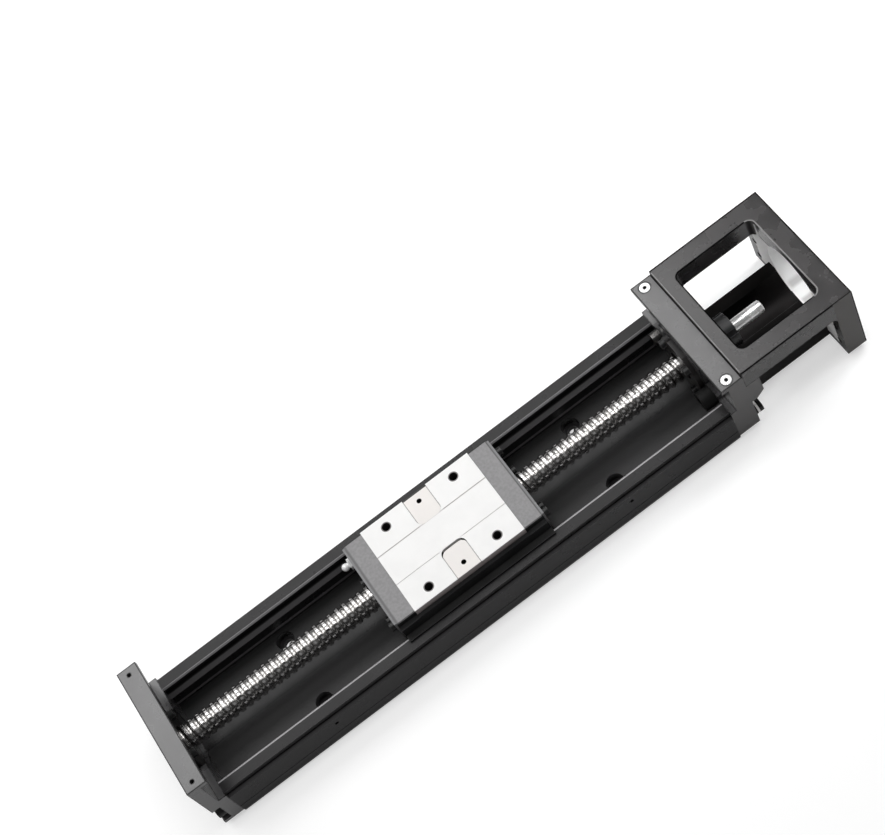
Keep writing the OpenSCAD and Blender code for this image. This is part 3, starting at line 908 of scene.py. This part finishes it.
BEARING_STEEL = Finish(
    name="bearing_steel", colour=(0.6, 0.6, 0.61), rough=0.25, metal=1.0, wear=0.0, bump=0.000008
)
BALL_STEEL = Finish(
    name="ball_steel", colour=(0.76, 0.76, 0.77), rough=0.1, metal=1.0, wear=0.0, bump=0.000003
)
NUT_BLACK = Finish(name="nut_black", colour=(0.015, 0.015, 0.016), rough=0.32, wear=0.35)
COLLAR_GREY = Finish(name="collar_grey", colour=(0.42, 0.42, 0.43), rough=0.34, metal=1.0, wear=0.0)
CARRIAGE_STEEL = BandedFinish(
    name="carriage_steel",
    colour=(0.87, 0.866, 0.858),
    wear_and_shade=(0.9, 0.9, 0.9),
    rough=0.55,
    rough_swing=0.04,
    colour_swing=0.02,
    bump=0.000006,
    lines=0.000004,
    wear=0.2,
    strips=(
        SIDE_SHADE,
        # Painted shade round the mouths and inside the carriage's holes.
        *(
            Strip("hole_rim_shade", HOLE_RIM_SHADE, z=(0.01, 0.05), reach=(FROM_CENTRE, 0.0031), centre=hole)
            for hole in CARRIAGE_HOLES
        ),
        *(
            Strip("hole_wall_shade", HOLE_SHADE, z=BELOW_TOP, reach=(FROM_CENTRE, 0.0036), centre=hole)
            for hole in CARRIAGE_HOLES
        ),
        # Painted shade in the pockets round the return tongues.
        Strip(
            "tongue_pocket_shade",
            Tint((0.02, 0.02, 0.02)),
            x=(-0.0380, -0.0218),
            y=(0.0095, 0.0297),
            z=BELOW_TOP,
        ),
        # Painted shade along the grooves beside the tongues, darker on the far side.
        *(
            Strip(name, tint, y=across, z=(0.01, 0.05), one_side=True)
            for name, tint, across in (
                ("far_groove_shade", Tint((0.62, 0.6, 0.6)), (0.0098, 0.0107)),
                ("near_groove_shade", Tint((0.76, 0.75, 0.75)), (-0.0106, -0.0099)),
            )
        ),
    ),
)
TONGUE_STEEL = BandedFinish(
    name="tongue_steel",
    colour=(0.82, 0.79, 0.765),
    rough=0.5,
    colour_swing=0.02,
    bump=0.000006,
    wear=0.1,
    strips=(
        # Painted shade in the gaps at the tongue's ends and at its far outer end.
        Strip("rear_gap_shade", GAP_SHADE, x=(-0.0381, -0.0374)),
        Strip("front_gap_shade", GAP_SHADE, x=(-0.0224, -0.0217)),
        Strip("far_gap_shade", Tint((0.03, 0.03, 0.03)), y=(0.0287, 0.0301), one_side=True),
        SIDE_SHADE,
        # Painted shade inside the tongue's screw hole.
        Strip(
            "hole_wall_shade",
            Tint((0.01, 0.01, 0.01)),
            z=(0.0, 0.0427),
            reach=(FROM_CENTRE, 0.0020),
            centre=TONGUE_HOLE,
        ),
    ),
)
CAP_GREY = BandedFinish(
    name="cap_grey",
    colour=(0.25, 0.246, 0.25),
    rough=0.55,
    bump=0.00005,
    wear=0.2,
    colour_swing=0.1,
    mottle=600.0,
    strips=(
        # Painted shade, darker towards the caps' outer ends.
        Strip("rear_edge_shade", Tint((0.13, 0.128, 0.13), 0.55), x=(-0.0800, -0.0772), blur=0.0008),
        Strip("front_edge_shade", Tint((0.09, 0.088, 0.09), 0.55), x=(0.0182, 0.0200), blur=0.0004),
    ),
)
CAP_BLACK = Finish(name="cap_black", colour=(0.01, 0.01, 0.0105), rough=0.45, gloss=0.25, wear=0.0)
SCRAPER_GREY = Finish(
    name="scraper_grey", colour=(0.2, 0.2, 0.205), rough=0.45, metal=0.3, wear=0.1
)
NIPPLE_STEEL = Finish(name="nipple_steel", colour=(0.9, 0.9, 0.9), rough=0.3, metal=0.3, wear=0.0)
SEAL_BLACK = Finish(
    name="seal_black", colour=(0.011, 0.011, 0.011), rough=0.5, gloss=0.25, wear=0.0
)
STRIP_SCREW = BandedFinish(
    name="strip_screw",
    colour=(0.8, 0.8, 0.8),
    rough=0.3,
    metal=1.0,
    wear=0.0,
    strips=(
        # Painted shade inside the socket.
        Strip("socket", Tint((0.015, 0.015, 0.015)), z=(0.0, 0.0554)),
        # Painted shade round the rim of the head.
        Strip(
            "head_rim_shade",
            Tint((0.2, 0.2, 0.2)),
            z=(0.0, 0.06),
            reach=(0.0030, 0.0040),
            centre=STRIP_SCREW_LINE,
        ),
    ),
)
BUMPER_RUBBER = Finish(
    name="bumper_rubber", colour=(0.008, 0.008, 0.008), rough=0.5, gloss=0.2, bump=0.00003, wear=0.0
)


def make_mesh(
    name: str,
    points: list[Point],
    faces: list[tuple[int, ...]],
    material: Material,
    smooth: bool = True,
) -> bpy.types.Object:
    """Makes a mesh object from points and faces.

    Args:
        name: The object's name.
        points: Its vertices.
        faces: Its faces, as vertex indices.
        material: Its material.
        smooth: Whether its faces are shaded smooth.

    Returns:
        The new object, linked to the scene.
    """
    mesh = bpy.data.meshes.new(name)
    mesh.from_pydata(points, [], faces)
    mesh.validate()
    mesh.polygons.foreach_set("use_smooth", [smooth] * len(mesh.polygons))
    mesh.materials.append(material)
    piece = bpy.data.objects.new(name, mesh)
    bpy.context.scene.collection.objects.link(piece)
    return piece


@dataclass
class Shaft:
    """The rolled ball screw with its journals, and what is clamped on it.

    Attributes:
        palette: The materials.
        height: Height of its axis.
        thread_radius: Radius over the thread.
        root_radius: Radius at the bottom of the groove.
        lead: The thread's lead.
        groove_half: Half the groove's width.
        land_round: How far the land's level part stops short of the groove.
        thread_start: Where the thread starts on X.
        thread_end: Where it ends on X.
        steps: Steps of the thread and of the journals in one turn.
        arc_steps: Steps across the groove.
        shoulder_radius: Radius of the seats beside the thread.
        rim: Distance from a thread end and radius of the thread's last ring.
        seat_end: Where the front seat ends on X.
        journal_radius: Radius of the journals.
        fillet: Length of the steps between radii.
        chamfer: The journals' chamfer.
        drive_length: Length of the thinner drive end.
        tip: Distance from the drive end and radius, from the rim to the centre hole.
        shoulder_angle: The angle over which a shoulder stays sharp, in degrees.
        edge: Width of the edge round on the collar and the nut.
    """

    palette: Palette
    height: float = AXIS_HEIGHT
    thread_radius: float = 7.5 * MM
    root_radius: float = 6.35 * MM
    lead: float = 5.0 * MM
    groove_half: float = 1.65 * MM
    land_round: float = 0.15 * MM
    thread_start: float = -211.7 * MM
    thread_end: float = 131.7 * MM
    steps: int = 64
    arc_steps: int = 12
    shoulder_radius: float = 6.3 * MM
    rim: tuple[Range, ...] = ((0.0, 6.3 * MM), (0.1 * MM, 7.4 * MM), (0.3 * MM, 6.3 * MM))
    seat_end: float = 133.1 * MM
    journal_radius: float = 5.0 * MM
    fillet: float = 0.1 * MM
    chamfer: float = 0.6 * MM
    drive_length: float = 19.7 * MM
    tip: tuple[Range, ...] = (
        (0.7 * MM, 4.0 * MM),
        (0.5 * MM, 3.85 * MM),
        (0.0, 3.3 * MM),
        (0.0, 1.2 * MM),
        (1.2 * MM, 0.0),
    )
    shoulder_angle: float = 40.0
    edge: float = 0.3 * MM

    def build(self) -> None:
        """Builds the shaft and dresses the bearings on it."""
        thread = self._thread(self.palette.get(THREAD_STEEL))
        journals = self._journals(self.palette.get(JOURNAL_STEEL))
        for piece in (thread, journals):
            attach(piece, Body.SCREW.value)
            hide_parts("ball_screw")
            log.info("built %s", piece.name)
        dress = self.palette.dress
        dress(BEARING_STEEL, 0.0, "rear_bearing_inner", "front_bearing_inners")
        dress(BALL_STEEL, 0.0, "rear_bearing_balls", "front_bearing_balls")
        dress(BLACK_SCREW, 0.0, "rear_snap_ring")
        dress(COLLAR_GREY, self.edge, "spacer_collar")
        dress(NUT_BLACK, self.edge, "lock_nut")

    def _ball_groove(self) -> list[Range]:
        """Gives one lead of the axial section.

        Returns:
            Pairs of distance along the shaft and radius.
        """
        section = [(0.0, self.thread_radius)]
        land = (self.lead - 2 * self.groove_half) / 2
        section.append((land - self.land_round, self.thread_radius))
        depth = self.thread_radius - self.root_radius
        ball = (self.groove_half**2 + depth**2) / (2 * depth)
        reach = math.asin(self.groove_half / ball)
        for i in range(self.arc_steps + 1):
            angle = reach * (2 * i / self.arc_steps - 1)
            along = self.lead / 2 + ball * math.sin(angle)
            section.append((along, self.root_radius + ball * (1 - math.cos(angle))))
        section.append((self.lead - land + self.land_round, self.thread_radius))
        section.append((self.lead, self.thread_radius))
        return section

    def _thread(self, material: Material) -> bpy.types.Object:
        """Sweeps the groove's section along a right-handed helix about the shaft's axis.

        Args:
            material: The steel.

        Returns:
            The thread's object.
        """
        section = self._ball_groove()
        start, end = self.thread_start, self.thread_end
        turns = math.ceil((end - start) / self.lead) + 1
        points: list[Point] = []
        faces: list[tuple[int, ...]] = []
        wide = len(section)
        for i in range(turns * self.steps + 1):
            angle = 2 * math.pi * i / self.steps
            base = start - self.lead + self.lead * i / self.steps
            for along, radius in section:
                x = min(max(base + along, start), end)
                y, z = -radius * math.sin(angle), self.height + radius * math.cos(angle)
                points.append((x, y, z))
        for i in range(turns * self.steps):
            for j in range(wide - 1):
                a = i * wide + j
                quad = (a, a + wide, a + wide + 1, a + 1)
                if not all(points[k][0] in (start, end) for k in quad):
                    faces.append(quad)
        return make_mesh("thread_flanks", points, faces, material)

    def _profile(self) -> list[Range]:
        """Gives the outline of the plain stretches, from the rear end to the drive end.

        Returns:
            Pairs of place on X and radius.
        """
        low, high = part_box("ball_screw")
        bevelled = self.journal_radius - self.chamfer
        drive = high.x - self.drive_length
        return [
            (low.x, 0.0),
            (low.x, bevelled),
            (low.x + self.chamfer, self.journal_radius),
            (self.thread_start - self.chamfer, self.journal_radius),
            *((self.thread_start + x, radius) for x, radius in self.rim),
            *((self.thread_end - x, radius) for x, radius in reversed(self.rim)),
            (self.seat_end, self.shoulder_radius),
            (self.seat_end + self.fillet, self.journal_radius),
            (drive - self.fillet - self.chamfer, self.journal_radius),
            (drive - self.fillet, bevelled),
            (drive, self.tip[0][1]),
            *((high.x - x, radius) for x, radius in self.tip),
        ]

    def _journals(self, material: Material) -> bpy.types.Object:
        """Turns the plain stretches of the shaft as one profile.

        Args:
            material: The steel.

        Returns:
            The journals' object.
        """
        profile = self._profile()
        points: list[Point] = []
        faces: list[tuple[int, ...]] = []
        for x, radius in profile:
            for k in range(self.steps):
                angle = 2 * math.pi * k / self.steps
                y, z = radius * math.sin(angle), self.height + radius * math.cos(angle)
                points.append((x, y, z))
        for i in range(len(profile) - 1):
            for k in range(self.steps):
                a = i * self.steps + k
                b = i * self.steps + (k + 1) % self.steps
                faces.append((a, a + self.steps, b + self.steps, b))
        piece = make_mesh("shaft_journals", points, faces, material)
        split = piece.modifiers.new("crisp_shoulders", "EDGE_SPLIT")
        split.split_angle = math.radians(self.shoulder_angle)
        return piece


@dataclass
class Carriage:
    """The guided carriage with its caps, scrapers and seals.

    Attributes:
        palette: The materials.
        cap_edge: Width of the edge round on the caps and side strips.
        block_edge: The same on the block and the seals.
        plate_edge: The same on the scrapers and screws.
        nipple_edge: The same on the grease nipple.
    """

    palette: Palette
    cap_edge: float = 0.35 * MM
    block_edge: float = 0.25 * MM
    plate_edge: float = 0.2 * MM
    nipple_edge: float = 0.15 * MM

    def build(self) -> None:
        """Dresses the carriage's solids."""
        dress = self.palette.dress
        dress(CARRIAGE_STEEL, self.block_edge, "carriage_block")
        dress(TONGUE_STEEL, 0.0, "return_tongues")
        dress(CAP_GREY, self.cap_edge, "end_cap_rear", "end_cap_front")
        dress(CAP_BLACK, self.cap_edge, "end_body_rear", "end_body_front")
        dress(SCRAPER_GREY, self.plate_edge, "scraper_rear", "scraper_front")
        dress(BLACK_SCREW, self.plate_edge, "cap_screws_rear", "cap_screws_front")
        dress(CAP_BLACK, self.cap_edge, "side_strip_near", "side_strip_far")
        dress(SEAL_BLACK, self.block_edge, "side_seal_near", "side_seal_far")
        dress(BALL_STEEL, 0.0, "ball_row_near", "ball_row_far")
        dress(NIPPLE_STEEL, self.nipple_edge, "grease_nipple")


@dataclass
class FixedFrame:
    """The rail, both end blocks, the motor bracket and what is screwed to them.

    Attributes:
        palette: The materials.
        block_edge: Width of the edge round on the rail, the blocks and the bracket.
        plate_edge: The same on the retainers and screws.
        bumper_edge: The same on the bumper.
        stop_edge: The same on the stop screw.
    """

    palette: Palette
    block_edge: float = 0.25 * MM
    plate_edge: float = 0.2 * MM
    bumper_edge: float = 0.5 * MM
    stop_edge: float = 0.3 * MM

    def build(self) -> None:
        """Dresses the fixed solids."""
        dress = self.palette.dress
        dress(RAIL_COAT, self.block_edge, "base_rail")
        dress(BLOCK_COAT, self.block_edge, "rear_end_block", "front_end_block")
        dress(BRACKET_COAT, self.block_edge, "motor_bracket")
        dress(BEARING_STEEL, 0.0, "rear_bearing_outer", "front_bearing_outers")
        dress(RETAINER_COAT, self.plate_edge, "rear_bearing_retainer", "front_bearing_retainer")
        dress(BLACK_SCREW, self.plate_edge, "rear_retainer_screws", "front_retainer_screws")
        dress(BLOCK_SCREW, self.plate_edge, "rear_block_screws", "front_block_screws")
        dress(STRIP_SCREW, self.plate_edge, "strip_screws")
        dress(BUMPER_RUBBER, self.bumper_edge, "bumper")
        dress(STOP_STEEL, self.stop_edge, "stop_screw")


@dataclass(frozen=True)
class Softbox:
    """One area lamp.

    Attributes:
        name: The lamp's name.
        place: Where it stands.
        size: Its width and height.
        power: Its power in watts.
        target: What it looks at.
        spread: The angle of its beam in degrees, 180 without a grid.
    """

    name: str
    place: Point
    size: Range
    power: float
    target: Point = (0.0, 0.0, 0.0)
    spread: float = 180.0

    def build(self) -> None:
        """Adds the lamp to the scene."""
        lamp = bpy.data.lights.new(self.name, "AREA")
        lamp.shape = "RECTANGLE"
        lamp.size, lamp.size_y = self.size
        lamp.energy = self.power
        lamp.spread = math.radians(self.spread)
        holder = bpy.data.objects.new(self.name, lamp)
        holder.location = self.place
        aim = Vector(self.target) - Vector(self.place)
        holder.rotation_euler = aim.to_track_quat("-Z", "Y").to_euler()
        bpy.context.scene.collection.objects.link(holder)
        log.info("placed %s", self.name)


LAMPS = (
    Softbox(
        "back_softbox",
        place=(-0.245, 0.38, 0.6),
        size=(1.03, 0.34),
        power=2.8,
        target=(-0.245, 0.38, 0.0),
    ),
    Softbox("low_back_softbox", place=(0.0, 0.95, 0.6), size=(2.0, 0.3), power=1.6),
    Softbox("long_softbox", place=(0.0, 0.0, 1.8), size=(4.0, 0.6), power=19.0),
    Softbox(
        "front_softbox",
        place=(-0.1, -1.4, 1.5),
        size=(1.6, 0.8),
        power=0.8,
        target=(-0.1, 0.0, 0.0),
    ),
    Softbox(
        "end_softbox",
        place=(0.5, -0.15, 0.25),
        size=(0.25, 0.25),
        power=0.03,
        target=(0.21, 0.0, 0.02),
    ),
    Softbox(
        "bore_softbox",
        place=(0.5, 0.1, 0.45),
        size=(0.2, 0.2),
        power=0.085,
        target=(0.215, -0.005, 0.01),
        spread=40.0,
    ),
)


@dataclass
class Studio:
    """The camera, the lamps, the pale floor and the world around the module.

    Attributes:
        lens: The camera's focal length in millimetres.
        sensor: Its sensor's width in millimetres.
        eye: Where it stands.
        tilt: Its turn about each axis, in degrees.
        clip: How near and how far it sees.
        floor_size: The floor's width.
        floor_drop: How far the floor lies under the module.
        floor_colour: The floor's colour.
        floor_glow: What the floor adds to its own light for the camera.
        ambient: The world's strength as light.
        mirrored: Its strength in reflections.
        lamps: The lamps.
    """

    lens: float = 87.19
    sensor: float = 36.0
    eye: Point = (-0.0086, -0.58467, 1.05104)
    tilt: Point = (27.38762, 18.259676, -32.658287)
    clip: Range = (0.01, 50.0)
    floor_size: float = 6.0
    floor_drop: float = 0.05 * MM
    floor_colour: Colour = (0.6, 0.6, 0.6)
    floor_glow: float = 0.48
    ambient: float = 0.3
    mirrored: float = 0.02
    lamps: tuple[Softbox, ...] = LAMPS

    def build(self) -> None:
        """Sets up the whole studio."""
        scene = bpy.context.scene
        scene.view_settings.view_transform = "Standard"
        self._camera(scene)
        self._world(scene)
        self._floor()
        for lamp in self.lamps:
            lamp.build()

    def _camera(self, scene: bpy.types.Scene) -> None:
        """Places the camera.

        Args:
            scene: The scene that looks through it.
        """
        data = bpy.data.cameras.new("bench_camera")
        data.lens = self.lens
        data.sensor_width = self.sensor
        data.clip_start, data.clip_end = self.clip
        camera = bpy.data.objects.new("bench_camera", data)
        camera.location = self.eye
        camera.rotation_euler = tuple(math.radians(a) for a in self.tilt)
        scene.collection.objects.link(camera)
        scene.camera = camera

    def _world(self, scene: bpy.types.Scene) -> None:
        """Makes a soft world, white to the camera and dim in reflections.

        Args:
            scene: The scene that gets it.
        """
        world = bpy.data.worlds.new("studio_world")
        world.use_nodes = True
        world.node_tree.nodes.clear()
        tree = Tree(world.node_tree)
        path = tree.add("ShaderNodeLightPath")
        rays = (path.outputs["Is Camera Ray"], path.outputs["Is Transmission Ray"])
        seen = tree.math("MULTIPLY", tree.math("MAXIMUM", *rays), 1.0 - self.ambient)
        dimmer = tree.math("MULTIPLY", path.outputs["Is Glossy Ray"], self.mirrored - self.ambient)
        strength = tree.math("ADD", tree.math("ADD", seen, self.ambient), dimmer)
        back = tree.add("ShaderNodeBackground")
        tree.feed(back.inputs["Strength"], strength)
        tree.feed(back.inputs["Color"], (1.0, 1.0, 1.0))
        out = tree.add("ShaderNodeOutputWorld")
        tree.feed(out.inputs["Surface"], back.outputs[0])
        scene.world = world

    def _floor(self) -> None:
        """Lays the pale floor, which keeps the module's shadow."""
        half = self.floor_size / 2
        corners = ((-half, -half), (half, -half), (half, half), (-half, half))
        points = [(x, y, -self.floor_drop) for x, y in corners]
        material = bpy.data.materials.new("pale_floor")
        material.use_nodes = True
        material.node_tree.nodes.clear()
        tree = Tree(material.node_tree)
        diffuse = tree.add("ShaderNodeBsdfDiffuse")
        tree.feed(diffuse.inputs["Color"], self.floor_colour)
        seen = tree.add("ShaderNodeLightPath").outputs["Is Camera Ray"]
        glow = tree.add("ShaderNodeEmission")
        tree.feed(glow.inputs["Strength"], tree.math("MULTIPLY", seen, self.floor_glow))
        both = tree.add("ShaderNodeAddShader")
        tree.feed(both.inputs[0], diffuse.outputs[0])
        tree.feed(both.inputs[1], glow.outputs[0])
        out = tree.add("ShaderNodeOutputMaterial")
        tree.feed(out.inputs["Surface"], both.outputs[0])
        floor = make_mesh("pale_floor", points, [(0, 1, 2, 3)], material, smooth=False)


def main() -> None:
    """Builds the studio and the module, sub-assembly by sub-assembly."""
    logging.basicConfig(level=logging.INFO, format="%(name)s: %(message)s")
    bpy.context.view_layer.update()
    Studio().build()
    palette = Palette()
    FixedFrame(palette).build()
    Shaft(palette).build()
    Carriage(palette).build()


if __name__ == "__main__":
    main()
